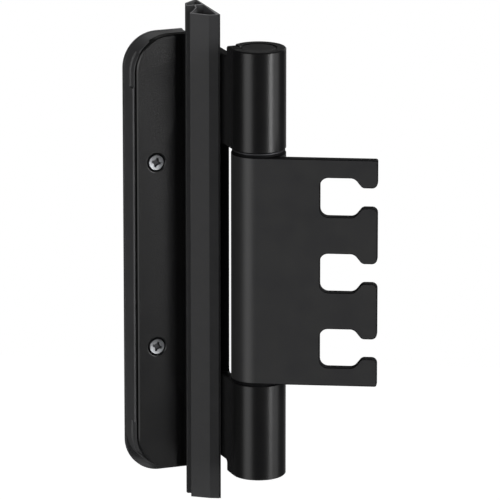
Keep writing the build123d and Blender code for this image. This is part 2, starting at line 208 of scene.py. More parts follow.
def rounded_outline(corners: Pairs, radii: Sequence[float], steps: int = 6,
                    support: float = 0.15) -> np.ndarray:
    """Round the corners of a closed outline.

    Each corner becomes an arc tangent to both edges: its centre lies radius to the inner
    side of the incoming edge's end, and the spoke to it turns through the corner's angle.
    One more point beyond each end of the arc keeps smooth shading flat on the straights.

    Args:
        corners: Corner points in anticlockwise order.
        radii: Radius at each corner.
        steps: Chords in each arc.
        support: Distance of the extra points from the arc's ends, half the radius at most.

    Returns:
        The outline's points.
    """
    corners, radii = np.asarray(corners, float), np.asarray(radii, float)
    arriving, leaving = corners - np.roll(corners, 1, 0), np.roll(corners, -1, 0) - corners
    arriving /= np.linalg.norm(arriving, axis=1, keepdims=True)
    leaving /= np.linalg.norm(leaving, axis=1, keepdims=True)
    crossed = arriving[:, 0] * leaving[:, 1] - arriving[:, 1] * leaving[:, 0]
    turn = np.arctan2(crossed, (arriving * leaving).sum(1))
    cut = radii * np.tan(np.abs(turn) / 2)
    inward = np.stack([-arriving[:, 1], arriving[:, 0]], 1) * (np.sign(turn) * radii)[:, None]
    centre = corners - arriving * cut[:, None] + inward
    angle = turn[:, None] * np.linspace(0, 1, steps + 1)
    spoke = -inward[:, None, :]
    arc = np.stack(
        [
            np.cos(angle) * spoke[..., 0] - np.sin(angle) * spoke[..., 1],
            np.sin(angle) * spoke[..., 0] + np.cos(angle) * spoke[..., 1],
        ],
        -1,
    )
    reach = cut + np.minimum(support, radii / 2)
    before = corners - arriving * reach[:, None]
    after = corners + leaving * reach[:, None]
    runs = [before[:, None], centre[:, None] + arc, after[:, None]]
    return np.concatenate(runs, 1).reshape(-1, 2)


def inset_rays(outline: np.ndarray) -> np.ndarray:
    """Give the step at each point that moves both its edges inwards by one unit.

    It is the sum of the two edges' inward normals over one plus their dot product.

    Args:
        outline: Closed anticlockwise outline.

    Returns:
        One step for each point.
    """
    edge = np.roll(outline, -1, 0) - outline
    edge /= np.linalg.norm(edge, axis=1, keepdims=True)
    ahead = np.stack([-edge[:, 1], edge[:, 0]], 1)
    behind = np.roll(ahead, 1, 0)
    return (ahead + behind) / (1 + (ahead * behind).sum(1))[:, None]


def edge_rows(thickness: float, front: float, back: float, support: float = 0.12,
              steps: int = 4) -> np.ndarray:
    """Give the inset and depth of each row round the edge of a plate.

    A row runs from the front face over a quarter circle of radius front, down the edge and
    over a quarter circle of radius back: inset = r (1 - sin a), depth = r (1 - cos a).

    Args:
        thickness: The plate's thickness.
        front: Edge radius on the front face.
        back: Edge radius on the back face.
        support: Width of the flat band that keeps the shading of each face even.
        steps: Chords in each quarter circle.

    Returns:
        Rows of inset and depth.
    """
    angle = np.linspace(0, QUARTER_TURN, steps + 1)

    def lip(radius: float) -> np.ndarray:
        """Rows of one face's edge, from the face to the wall."""
        quarter = radius * np.stack([1 - np.sin(angle), 1 - np.cos(angle)], 1)
        return np.vstack([[radius + support, 0.0], quarter, [0.0, radius + support]])

    far = lip(back)[::-1] * [1, -1] + [0, thickness]
    return np.vstack([lip(front), far])


def edge_band(outline: np.ndarray, rows: np.ndarray, outwards: bool = False) -> np.ndarray:
    """Carry the edge rows round an outline.

    Args:
        outline: Closed anticlockwise outline.
        rows: Inset and depth of each row.
        outwards: Whether the material lies outside the outline, as round a hole.

    Returns:
        Array of rows by points by (first, second, depth).
    """
    sign = -1.0 if outwards else 1.0
    points = outline[None] + sign * rows[:, None, :1] * inset_rays(outline)[None]
    depth = np.broadcast_to(rows[:, None, 1:], (*points.shape[:2], 1))
    return np.concatenate([points, depth], 2)


def bore_band(place: float, height: float, rows: np.ndarray, sides: int = 48) -> np.ndarray:
    """Give the edge band of a round hole square to a flat plate.

    Args:
        place: The hole's centre along the first axis.
        height: Its centre along the second.
        rows: Radius and depth of each row, from the front face to the back.
        sides: Points round the hole.

    Returns:
        Array of rows by points by (first, second, depth).
    """
    angle = np.linspace(0, FULL_TURN, sides, endpoint=False)
    along = place + rows[:, :1] * np.cos(angle)
    across = height + rows[:, :1] * np.sin(angle)
    return np.stack([along, across, np.broadcast_to(rows[:, 1:], along.shape)], -1)


def with_stations(outline: np.ndarray, stations: np.ndarray, closed: bool = True) -> np.ndarray:
    """Add a point wherever an outline crosses a station along its first axis.

    Args:
        outline: The outline.
        stations: Places along the first axis.
        closed: Whether the last point joins the first.

    Returns:
        The outline with the crossings put in, in order.
    """
    run = np.roll(outline, -1, 0) - outline
    run[-1] *= closed
    slope = np.where(np.abs(run[:, 0]) < SAME_PLACE, np.inf, run[:, 0])
    share = (stations[None, :] - outline[:, :1]) / slope[:, None]
    edge, station = np.nonzero((share > SAME_SHARE) & (share < 1 - SAME_SHARE))
    along = share[edge, station]
    points = outline[edge] + along[:, None] * run[edge]
    points[:, 0] = stations[station]
    order = np.argsort(np.concatenate([np.arange(len(outline)), edge + along]))
    return np.concatenate([outline, points])[order]


def inside(points: np.ndarray, loop: np.ndarray) -> np.ndarray:
    """Tell which points lie in a loop, by counting the edges that a ray crosses.

    A point is inside where the ray from it along the first axis crosses an odd number.

    Args:
        points: Points to test.
        loop: The loop's corners in order.

    Returns:
        True for each point inside.
    """
    start, end = loop, np.roll(loop, -1, 0)
    x, y = points[:, :1], points[:, 1:]
    spans = (start[:, 1] > y) != (end[:, 1] > y)
    rise = np.where(end[:, 1] == start[:, 1], 1.0, end[:, 1] - start[:, 1])
    cross = start[:, 0] + (y - start[:, 1]) * (end[:, 0] - start[:, 0]) / rise
    return (spans & (x < cross)).sum(1) % 2 == 1


def ribs(rings: list[np.ndarray], stations: np.ndarray,
         reach: float = 1.2) -> tuple[np.ndarray, np.ndarray]:
    """Lay a line across a face at each station, stopping short of its holes.

    Args:
        rings: The face's outer ring and the rings of its holes.
        stations: Places along the first axis.
        reach: How far a line that meets a hole stays from it.

    Returns:
        Extra points beside the holes, and pairs of point numbers, the extra ones last.
    """
    outer, extra, pairs = rings[0], [], []
    count = sum(len(ring) for ring in rings)
    beside = reach / 4
    for station in stations:
        met = np.nonzero(np.abs(outer[:, 0] - station) < SAME_PLACE)[0]
        met = met[np.argsort(outer[met, 1])]
        if len(met) % 2:
            continue
        for low, high in met.reshape(-1, 2):
            stops = [low]
            for ring in rings[1:]:
                near = ring[:, 0].min() - beside < station < ring[:, 0].max() + beside
                if near and outer[low, 1] < ring[0, 1] < outer[high, 1]:
                    for height in (ring[:, 1].min() - reach, ring[:, 1].max() + reach):
                        stops.append(count + len(extra))
                        extra.append((station, height))
            stops.append(high)
            pairs += list(zip(stops[::2], stops[1::2]))
    return np.array(extra).reshape(-1, 2), np.array(pairs, int).reshape(-1, 2)


def fill(rings: list[np.ndarray], stations: np.ndarray) -> tuple[np.ndarray, np.ndarray]:
    """Triangulate a flat face with holes, keeping the lines at its stations.

    Args:
        rings: The face's outer ring and the rings of its holes.
        stations: Places along the first axis where the face will bend.

    Returns:
        Extra points, and triangles of point numbers in the order rings, extra points.
    """
    extra, pairs = ribs(rings, stations)
    points = np.concatenate([*rings, extra])
    lines, first = [pairs], 0
    for ring in rings:
        number = first + np.arange(len(ring))
        lines.append(np.stack([number, np.roll(number, -1)], 1))
        first += len(ring)
    vectors = [Vector(point) for point in points.tolist()]
    edges = np.concatenate(lines).tolist()
    _, _, faces, origins, _, _ = delaunay_2d_cdt(vectors, edges, [], WHOLE_HULL, SAME_PLACE)
    source = np.array([origin[0] if origin else -1 for origin in origins])
    triangles = source[np.array(faces)]
    triangles = triangles[(triangles >= 0).all(1)]
    centre = points[triangles].mean(1)
    keep = inside(centre, rings[0])
    for ring in rings[1:]:
        keep &= ~inside(centre, ring)
    return extra, triangles[keep]


def grid_faces(rows: int, columns: int, closed_rows: bool = False,
               closed_columns: bool = False) -> np.ndarray:
    """Number the four corners of each cell of a grid of points.

    Args:
        rows: Points down the grid.
        columns: Points across it.
        closed_rows: Whether the last row joins the first.
        closed_columns: Whether the last column joins the first.

    Returns:
        One row of four point numbers for each cell.
    """
    down = np.arange(rows if closed_rows else rows - 1)[:, None]
    across = np.arange(columns if closed_columns else columns - 1)[None]
    below, beside = (down + 1) % rows, (across + 1) % columns
    cells = [
        down * columns + across,
        down * columns + beside,
        below * columns + beside,
        below * columns + across,
    ]
    return np.stack(np.broadcast_arrays(*cells), -1).reshape(-1, 4)


def clad(outer: np.ndarray, holes: list[np.ndarray], stations: np.ndarray, shape: Shape) -> Mesh:
    """Close a plate or bar from its edge bands and its two faces.

    Args:
        outer: Edge band of the outline, rows by points by (first, second, depth).
        holes: Edge bands of the holes.
        stations: Places along the first axis where the plate bends.
        shape: Function of first, second and depth that gives the points in space.

    Returns:
        Points, and two groups of faces: the bands' quads and the two faces' triangles.
    """
    bands = [outer, *holes]
    points, walls, first = [], [], []
    total = 0
    for band in bands:
        points.append(band.reshape(-1, 3))
        walls.append(grid_faces(*band.shape[:2], closed_columns=True) + total)
        first.append(total)
        total += band.shape[0] * band.shape[1]
    caps = []
    for row in (0, -1):
        rings = [band[row, :, :2] for band in bands]
        extra, triangles = fill(rings, stations)
        number = [
            start + (band.shape[0] - 1 if row else 0) * band.shape[1] + np.arange(band.shape[1])
            for start, band in zip(first, bands)
        ]
        number.append(total + np.arange(len(extra)))
        caps.append(np.concatenate(number)[triangles])
        points.append(np.column_stack([extra, np.full(len(extra), outer[row, 0, 2])]))
        total += len(extra)
    places = np.concatenate(points)
    return shape(*places.T), [np.concatenate(walls), np.concatenate(caps)]


def solid_half(corners: Pairs, radii: Sequence[float]) -> np.ndarray:
    """Round half a section that meets the axis at both its ends.

    The half is mirrored, rounded whole, and cut along the axis again.

    Args:
        corners: Corners of the half, from the bottom to the top.
        radii: Radius at each corner.

    Returns:
        Radius and height of each point, the first and last on the axis.
    """
    mirrored = [(-radius, height) for radius, height in reversed(corners)]
    whole = rounded_outline([*corners, *mirrored], [*radii, *reversed(radii)], support=0.1)
    half = whole[whole[:, 0] > 0]
    return np.vstack([[0.0, half[0, 1]], half, [0.0, half[-1, 1]]])


def turned(profile: np.ndarray, sides: int = 96, ring: bool = True) -> Mesh:
    """Turn a profile of radius and height round the vertical axis.

    A point stands at radius cos a, radius sin a and its own height for each angle a.

    Args:
        profile: Outline with radius first and height second.
        sides: Points round the axis.
        ring: Whether the profile closes on itself, or else runs from axis to axis.

    Returns:
        Points and faces.
    """
    angle = np.linspace(0, FULL_TURN, sides, endpoint=False)[None]
    radius, height = profile[:, :1], profile[:, 1:]
    around = [radius * np.cos(angle), radius * np.sin(angle)]
    points = np.stack([*around, np.broadcast_to(height, (len(profile), sides))], -1)
    return points.reshape(-1, 3), [grid_faces(len(profile), sides, ring, True)]


def new_object(name: str, data: bpy.types.ID) -> bpy.types.Object:
    """Put a mesh, lamp or camera into the scene as an object of its own.

    Args:
        name: The object's name.
        data: What it shows.

    Returns:
        The object.
    """
    made = bpy.data.objects.new(name, data)
    bpy.context.scene.collection.objects.link(made)
    return made


def add_piece(name: str, mesh: Mesh, finishes: Sequence[bpy.types.Material], body: str, node: str) -> bpy.types.Object:
    """Put a computed mesh into the scene in place of its CAD node.

    Args:
        name: The piece's name.
        mesh: Points in millimetres and groups of faces.
        finishes: One material for each group of faces.
        body: The body that it rides on.
        node: The CAD node that it stands for.

    Returns:
        The new object, closed, smooth and facing outwards.

    Raises:
        ValueError: A point isn't a number, as where an outline folds back on itself.
    """
    points, groups = mesh
    if not np.isfinite(points).all():
        raise ValueError(f"{name} has points that aren't numbers")
    data = bpy.data.meshes.new(name)
    data.from_pydata((points * MM).tolist(), [], [face for group in groups for face in group.tolist()])
    kinds = list(dict.fromkeys(finishes))
    for finish in kinds:
        data.materials.append(finish)
    part = np.repeat([kinds.index(finish) for finish in finishes], [len(group) for group in groups])
    data.polygons.foreach_set("material_index", part.astype(np.int32))
    work = bmesh.new()
    work.from_mesh(data)
    bmesh.ops.remove_doubles(work, verts=work.verts, dist=WELD_REACH)
    bmesh.ops.dissolve_degenerate(work, edges=work.edges, dist=SLIVER_LENGTH)
    bmesh.ops.recalc_face_normals(work, faces=work.faces)
    open_edges = sum(not edge.is_manifold for edge in work.edges)
    work.to_mesh(data)
    work.free()
    data.polygons.foreach_set("use_smooth", np.ones(len(data.polygons), bool))
    data.set_sharp_from_angle(angle=SMOOTH_LIMIT)
    piece = new_object(name, data)
    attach(piece, body)
    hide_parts(node)
    log.info("%s: %d faces, %d open edges, on %s", name, len(data.polygons), open_edges, body)
    return piece


# Finishes


def linear(hex_colour: str) -> tuple[float, float, float, float]:
    """Turn an sRGB hex colour into the linear RGBA that a shader socket takes.

    Args:
        hex_colour: Six hex digits with a leading hash.

    Returns:
        Linear red, green, blue and an alpha of one.
    """
    values = [int(hex_colour[i:i + 2], 16) / 255 for i in (1, 3, 5)]
    channels = [v / 12.92 if v <= 0.04045 else ((v + 0.055) / 1.055) ** 2.4 for v in values]
    return channels[0], channels[1], channels[2], 1.0


def fresh_tree(owner: bpy.types.Material | bpy.types.World) -> bpy.types.NodeTree:
    """Give a material or a world an empty node tree.

    Args:
        owner: The material or world.

    Returns:
        Its tree.
    """
    owner.use_nodes = True
    owner.node_tree.nodes.clear()
    return owner.node_tree


def add_node(tree: bpy.types.NodeTree, kind: str, inputs: dict[str | int, object],
             **settings: object) -> bpy.types.Node:
    """Add one node with its settings, socket values and links.

    Args:
        tree: The node tree that gets the node.
        kind: Blender's node type name.
        inputs: Socket name or index to a value, or to the output socket that feeds it.
        settings: Attributes of the node itself.

    Returns:
        The new node.
    """
    node = tree.nodes.new(kind)
    for name, value in settings.items():
        setattr(node, name, value)
    for key, value in inputs.items():
        if isinstance(value, bpy.types.NodeSocket):
            tree.links.new(value, node.inputs[key])
        else:
            node.inputs[key].default_value = value
    return node


@dataclass(frozen=True)
class Finish:
    """A surface with a fine grain, a slow drift of gloss and a slight drift of colour.

    grain_mm is the grain's size along x, y and z, grain_um its height and drift_mm the size
    of the drift. A detail is the number of finer octaves, and noise_middle the part of a
    noise that is stretched over the whole drift.
    """

    name: str
    colour: str
    other_colour: str
    roughness: float
    gloss_drift: float = 0.015
    specular: float = 0.5
    metallic: float = 0.0
    grain_mm: tuple[float, float, float] = (0.8, 0.8, 0.8)
    grain_um: float = 4.0
    grain_detail: float = 2.0
    drift_mm: float = 9.0
    drift_detail: float = 3.0
    noise_middle: tuple[float, float] = (0.3, 0.7)

    def noise(self, tree: bpy.types.NodeTree, size_mm: Sequence[float],
              detail: float) -> bpy.types.NodeSocket:
        """Add noise of the given size along each axis of the piece.

        Args:
            tree: The material's tree.
            size_mm: Size of one grain along x, y and z.
            detail: Number of finer octaves.

        Returns:
            The noise, from nought to one.
        """
        place = add_node(tree, "ShaderNodeTexCoord", {}).outputs["Object"]
        density = [1 / (size * MM) for size in size_mm]
        scaled = add_node(tree, "ShaderNodeMapping", {"Vector": place, "Scale": density})
        settings = {"Vector": scaled.outputs["Vector"], "Scale": 1.0, "Detail": detail}
        return add_node(tree, "ShaderNodeTexNoise", settings).outputs["Fac"]

    def spread(self, tree: bpy.types.NodeTree, noise: bpy.types.NodeSocket, low: float,
               high: float) -> bpy.types.NodeSocket:
        """Stretch the middle of a noise to run from low to high.

        Args:
            tree: The material's tree.
            noise: The noise.
            low: Value where the noise is low.
            high: Value where it is high.

        Returns:
            The stretched noise.
        """
        start, end = self.noise_middle
        limits = {"Value": noise, "From Min": start, "From Max": end, "To Min": low, "To Max": high}
        return add_node(tree, "ShaderNodeMapRange", limits).outputs["Result"]

    def build(self) -> bpy.types.Material:
        """Make the material's nodes from Object coordinates, once.

        Returns:
            The material, the same one each time.
        """
        made = bpy.data.materials.get(self.name)
        if made:
            return made
        material = bpy.data.materials.new(self.name)
        tree = fresh_tree(material)
        drift = self.noise(tree, [self.drift_mm] * 3, self.drift_detail)
        blend = self.spread(tree, drift, 0.0, 1.0)
        first, second = linear(self.colour), linear(self.other_colour)
        shades = {MIX_FACTOR: blend, MIX_FIRST: first, MIX_SECOND: second}
        colour = add_node(tree, "ShaderNodeMix", shades, data_type="RGBA").outputs[MIX_RESULT]
        smoothest, roughest = self.roughness - self.gloss_drift, self.roughness + self.gloss_drift
        gloss = self.spread(tree, drift, smoothest, roughest)
        relief = {
            "Height": self.noise(tree, self.grain_mm, self.grain_detail),
            "Distance": self.grain_um * MICRON,
            "Strength": 1.0,
        }
        bump = add_node(tree, "ShaderNodeBump", relief)
        surface = {
            "Base Color": colour,
            "Roughness": gloss,
            "Metallic": self.metallic,
            "Specular IOR Level": self.specular,
            "Normal": bump.outputs["Normal"],
        }
        shader = add_node(tree, "ShaderNodeBsdfPrincipled", surface)
        add_node(tree, "ShaderNodeOutputMaterial", {"Surface": shader.outputs["BSDF"]})
        return material


# Satin powder coat on steel plate: nearly black, with a soft broad sheen.
LEAF_COAT = Finish(
    "satin_black_powder_coat_on_steel", "#202021", "#232323", 0.38, specular=0.28, grain_um=3.0,
)

# The leaf's coat over its cut edges and their roundings, painted dead black with hardly any sheen: painted shade on
# these narrow edge faces.
CUT_EDGE_SHADE_COAT = Finish(
    "leaf_coat_painted_as_shade_on_cut_edge", "#060607", "#080809", 0.6, specular=0.05,
)

# Smoother, glossier powder coat: a deeper black, with a tight highlight that sparkles a little.
DOOR_COAT = Finish(
    "smooth_black_powder_coat_on_steel", "#0a0a0b", "#0d0d0d", 0.24, specular=0.22,
    gloss_drift=0.005, grain_mm=(0.6, 0.6, 0.6), grain_um=25.0,
)

# The same coat where the plate is rolled: its grain is tighter, so the highlight is broader
# and specked. Real specks are finer, and these are about as small as the render can show.
ROLLED_COAT = Finish(
    "grained_black_powder_coat_on_rolled_steel", "#0a0a0b", "#0d0d0d", 0.29, specular=0.26,
    gloss_drift=0.005, grain_mm=(0.4, 0.4, 0.4), grain_um=25.0,
)

# Lacquered zinc die casting: dull charcoal, with the casting's faint pebble under the lacquer.
CAST_COAT = Finish(
    "charcoal_lacquer_on_zinc_casting", "#303031", "#353536", 0.5, specular=0.32,
    grain_mm=(0.4, 0.4, 0.4), grain_um=5.0,
)

# Extruded rubber: matt charcoal, with fine draw lines along its length.
SEAL_SKIN = Finish(
    "extruded_black_rubber", "#232324", "#272728", 0.5, specular=0.25,
    grain_mm=(0.35, 0.35, 30.0), grain_um=5.0, drift_mm=4.0,
)

# Knife-cut rubber: the same rubber, paler and duller where the blade went through.
SEAL_CUT = Finish(
    "knife_cut_black_rubber", "#5a5a5b", "#666668", 0.7, specular=0.3, grain_mm=(0.2, 1.2, 0.2),
    grain_um=8.0,
)

# The same rubber inside the seal's chambers, painted a little paler than the skin and dull: painted light on the
# chamber walls, which the lamps barely reach.
SEAL_CHAMBER_PAINTED_LIGHT = Finish("rubber_paled_as_painted_light_in_chambers", "#363637", "#303031", 0.8, specular=0.2, grain_um=5.0)

# Bright zinc plate on turned steel: a mid grey metal with a dull shine.
SCREW_ZINC = Finish(
    "bright_zinc_plate_on_steel", "#68696b", "#5a5b5d", 0.42, metallic=1.0,
    grain_mm=(0.25, 0.25, 0.25), grain_um=6.0, drift_mm=1.5,
)

# The screw's zinc inside its punched recess, painted dull dark grey with no metal shine: painted shade in the recess.
RECESS_SHADE_ZINC = Finish(
    "zinc_painted_dark_as_shade_in_the_recess", "#323234", "#2b2b2d", 0.8, specular=0.2,
    grain_mm=(0.2, 0.2, 0.2), grain_um=6.0, drift_mm=0.8,
)

# Ground steel pin: bright, with fine grinding marks round it.
PIN_STEEL = Finish(
    "ground_steel", "#9c9d9f", "#8c8d90", 0.25, metallic=1.0, grain_mm=(3.0, 3.0, 0.12), grain_um=1.0,
)

# Oiled steel washer: dark grey metal that catches a thin line of light.
WASHER_STEEL = Finish("oiled_spring_steel", "#464648", "#3c3c3e", 0.6, metallic=1.0, grain_um=2.0)

# Moulded acetal bush: black plastic, evenly dull.
BUSH_PLASTIC = Finish("moulded_black_acetal", "#050506", "#070708", 0.6, specular=0.06, grain_um=3.0)

# Moulded nylon cap: black plastic, a little paler and duller than the coated steel.
CAP_PLASTIC = Finish(
    "moulded_black_nylon", "#111112", "#141415", 0.3, specular=0.21, grain_mm=(0.3, 0.3, 0.3),
    grain_um=4.0,
)


# Pieces


@dataclass
class FrameLeaf:
    """The leaf that lifts into the door frame: a flat wing with keyhole slots, rolled at one end."""

    reach: float = 43.8
    slot_pitch: float = 28.2
    slot_height: float = 14.5
    slot_depth: float = 20.8
    neck_height: float = 7.4
    neck_length: float = 5.5
    flank_run: float = 2.84
    pocket_round: float = 3.0
    throat_round: float = 2.0
    mouth_round: float = 2.0
    corner_round: float = 0.8
    seam_round: float = 0.6
    edge_round: float = 0.3
    face_rows: int = 1

    def slot(self, height: float) -> tuple[list[tuple[float, float]], list[float]]:
        """Give one keyhole slot's corners, from the lower lip to the upper, and their radii.

        Args:
            height: Mid-height of the slot.

        Returns:
            The corners, and the radius at each.
        """
        half, neck = self.slot_height / 2, self.neck_height / 2
        throat = self.reach - self.neck_length
        flank, floor = throat - self.flank_run, self.reach - self.slot_depth
        lower = [(self.reach, -neck), (throat, -neck), (flank, -half), (floor, -half)]
        radii = [self.mouth_round, self.throat_round, self.pocket_round, self.pocket_round]
        corners = lower + [(x, -z) for x, z in reversed(lower)]
        return [(x, z + height) for x, z in corners], radii + radii[::-1]

    def outline(self) -> np.ndarray:
        """Give the flat blank's outline, with the roll laid out to the left of the pivot line.

        Returns:
            Places along the blank and heights, anticlockwise.
        """
        corners = [(-PLATE.roll_length, COLUMN.leaf_bottom), (self.reach, COLUMN.leaf_bottom)]
        radii = [self.seam_round, self.corner_round]
        for count in (-1, 0, 1):
            slot_corners, slot_radii = self.slot(count * self.slot_pitch)
            corners += slot_corners
            radii += slot_radii
        corners += [(self.reach, COLUMN.leaf_top), (-PLATE.roll_length, COLUMN.leaf_top)]
        radii += [self.corner_round, self.seam_round]
        return rounded_outline(corners, radii)

    def roll(self, along: np.ndarray, height: np.ndarray, depth: np.ndarray) -> np.ndarray:
        """Bend the blank round the pin.

        The wing lies flat at y = depth - radius. Left of the pivot line a fibre at
        r = radius - depth turns by its share of the roll: x = -r sin a, y = -r cos a.

        Args:
            along: Place along the blank.
            height: Height.
            depth: Depth below the outer face.

        Returns:
            Points in frame coordinates.
        """
        radius, angle = PLATE.rolled(along, depth)
        x = np.where(along > 0, along, -radius * np.sin(angle))
        return np.stack([x, -radius * np.cos(angle), height], -1)

    def build(self) -> None:
        """Make the leaf from its blank, with its cut edge and its roundings painted near black as shade."""
        stations = PLATE.roll_lines()
        rows = edge_rows(PLATE.thickness, self.edge_round, self.edge_round)
        band = edge_band(with_stations(self.outline(), stations), rows)
        points, (walls, sides) = clad(band, [], stations, self.roll)
        # The wall rows after the front face's support band take the painted shade of the cut edge.
        edge = self.face_rows * band.shape[1]
        mesh = points, [walls[:edge], sides, walls[edge:]]
        coat = LEAF_COAT.build()
        finishes = [coat, coat, CUT_EDGE_SHADE_COAT.build()]
        add_piece("rolled_frame_leaf", mesh, finishes, "frame_side", "frame_leaf")


@dataclass
class DoorLeaf:
    """The leaf on the door: two rolled lugs, a web with a window, a bend and the face plate.

    The mouths and feet of the holes hold pairs: how far a row stands out from the hole's
    radius, and its depth past the plane of that mouth or foot.
    """

    bend_inner: float = 0.8
    lug_depth: float = 6.4
    window_depth: float = 12.6
    window_round: float = 1.2
    top_step: float = 3.9
    bottom_step: float = 4.0
    step_round: float = 1.0
    small_round: float = 0.65
    front_bevel: float = 0.4
    back_bevel: float = 0.25
    rolled_margin: float = 0.65
    screw_reach: float = 30.7
    screw_spacing: float = 69.5
    sink_radius: float = 3.6
    shank_radius: float = 1.78
    sink_mouth: Pairs = ((0.2, 0.0), (0.08, 0.0), (0.02, 0.03), (-0.05, 0.1))
    sink_foot: Pairs = ((0.05, -0.05), (0.0, 0.05))
    shank_foot: Pairs = ((0.0, -0.15), (0.05, -0.04), (0.12, 0.0), (0.3, 0.0))
    lock_radius: float = 2.02
    lock_drop: float = 18.0
    lock_turn: float = 1.5 * math.pi
    lock_mouth: Pairs = ((0.4, 0.0), (0.2, 0.0), (0.05, 0.05), (0.0, 0.2))
    hole_sides: int = 48
    bend_steps: int = 8
    bend_clear: float = 0.1
    corner_steps: int = 16

    @property
    def web_length(self) -> float:
        """Flat length of the web, from the pivot line to the bend."""
        return FACE.depth - self.bend_inner

    @property
    def bend_length(self) -> float:
        """Developed length of the bend, measured half-way through the plate."""
        return QUARTER_TURN * (self.bend_inner + PLATE.thickness / 2)

    @property
    def face_start(self) -> float:
        """Where the flat face plate begins along the blank."""
        return self.web_length + self.bend_length

    def along(self, reach: float) -> float:
        """Place along the blank of a point of the face plate, from its reach across the door."""
        return self.face_start + reach - PLATE.knuckle_radius - self.bend_inner

    def outline(self) -> np.ndarray:
        """Give the flat blank's outline, rolls to the left and face plate to the right.

        Returns:
            Places along the blank and heights, anticlockwise.
        """
        web_top = COLUMN.knuckle_top - self.top_step
        web_bottom = COLUMN.knuckle_bottom + self.bottom_step
        free, seam = self.along(FACE.reach), -PLATE.roll_length
        corners = [
            (seam, COLUMN.knuckle_bottom),
            (self.lug_depth, COLUMN.knuckle_bottom),
            (self.lug_depth, web_bottom),
            (self.face_start, web_bottom),
            (self.face_start, COLUMN.plate_bottom),
            (free, COLUMN.plate_bottom),
            (free, COLUMN.plate_top),
            (self.face_start, COLUMN.plate_top),
            (self.face_start, web_top),
            (self.lug_depth, web_top),
            (self.lug_depth, COLUMN.knuckle_top),
            (seam, COLUMN.knuckle_top),
            (seam, COLUMN.upper_lug_bottom),
            (self.window_depth, COLUMN.upper_lug_bottom),
            (self.window_depth, COLUMN.lower_lug_top),
            (seam, COLUMN.lower_lug_top),
        ]
        small, window = self.small_round, self.window_round
        half = [small, small, self.step_round, small, small, FACE.corner]
        radii = half + half[::-1] + [small, window, window, small]
        return rounded_outline(corners, radii, steps=self.corner_steps)

    def bend(self, along: np.ndarray, height: np.ndarray, depth: np.ndarray) -> np.ndarray:
        """Roll the lugs and bend the face plate off the web.

        A fibre at r = knuckle radius - depth turns round the pin left of the pivot line.
        Right of it the web runs straight back, turns a quarter circle of radius
        bend_inner + depth, and goes on as the face plate.

        Args:
            along: Place along the blank.
            height: Height.
            depth: Depth below the outer face.

        Returns:
            Points in frame coordinates.
        """
        radius, rolled = PLATE.rolled(along, depth)
        bent = np.clip((along - self.web_length) / self.bend_length, 0, 1) * QUARTER_TURN
        bend_radius = self.bend_inner + depth
        centre = PLATE.knuckle_radius + self.bend_inner
        beyond = np.clip(along - self.face_start, 0, None)
        u = centre + beyond - bend_radius * np.cos(bent)
        v = -np.clip(along, 0, self.web_length) - bend_radius * np.sin(bent)
        u = np.where(along < 0, radius * np.cos(rolled), u)
        v = np.where(along < 0, radius * np.sin(rolled), v)
        return door_side(u, v, height)

    def screw_hole(self, height: float) -> np.ndarray:
        """Give the edge band of a countersunk hole: a 90 degree cone down to a plain bore.

        Args:
            height: Height of the hole's centre.

        Returns:
            Array of rows by points by (along, height, depth).
        """
        sink, shank = self.sink_radius, self.shank_radius
        rows = np.vstack([
            np.array(self.sink_mouth) + [sink, 0],
            np.array(self.sink_foot) + [shank, sink - shank],
            np.array(self.shank_foot) + [shank, PLATE.thickness],
        ])
        return bore_band(self.along(self.screw_reach), height, rows, self.hole_sides)

    def lock_hole(self) -> np.ndarray:
        """Give the edge band of the round hole through the rear of the upper knuckle.

        At each depth the hole's side at angle a stands r cos a beside the hole's axis, so it
        lies asin(r cos a / knuckle fibre) beyond three quarters of a turn of the roll.

        Returns:
            Array of rows by points by (along, height, depth).
        """
        mouth = np.array(self.lock_mouth)
        far = mouth[::-1] * [1, -1] + [0, PLATE.thickness]
        rows = np.vstack([mouth, far]) + [self.lock_radius, 0]
        angle = np.linspace(0, FULL_TURN, self.hole_sides, endpoint=False)
        fibre = PLATE.knuckle_radius - rows[:, 1:]
        around = self.lock_turn + np.arcsin(rows[:, :1] * np.cos(angle) / fibre)
        along = -PLATE.roll_length * around / PLATE.roll_span(fibre)
        height = COLUMN.knuckle_top - self.lock_drop + rows[:, :1] * np.sin(angle)
        return np.stack([along, height, np.broadcast_to(rows[:, 1:], along.shape)], -1)

    def build(self) -> None:
        """Make the leaf from its blank, with a coat of its own on the rolled knuckles."""
        stations = np.concatenate([
            PLATE.roll_lines(),
            [self.web_length - PLATE.flat_margin],
            np.linspace(self.web_length, self.face_start - self.bend_clear, self.bend_steps),
        ])
        band = edge_band(
            with_stations(self.outline(), stations),
            edge_rows(PLATE.thickness, self.front_bevel, self.back_bevel, steps=1),
        )
        offset = self.screw_spacing / 2
        holes = [self.screw_hole(COLUMN.plate_middle + side * offset) for side in (-1, 1)]
        points, groups = clad(band, [*holes, self.lock_hole()], stations, self.bend)
        on_roll = np.hypot(points[:, 0], points[:, 1]) < PLATE.knuckle_radius + self.rolled_margin
        flat = [group[~on_roll[group].all(1)] for group in groups]
        rolled = [group[on_roll[group].all(1)] for group in groups]
        finishes = [DOOR_COAT.build()] * len(flat) + [ROLLED_COAT.build()] * len(rolled)
        mesh = points, flat + rolled
        add_piece("rolled_door_leaf", mesh, finishes, "door_side", "door_leaf")


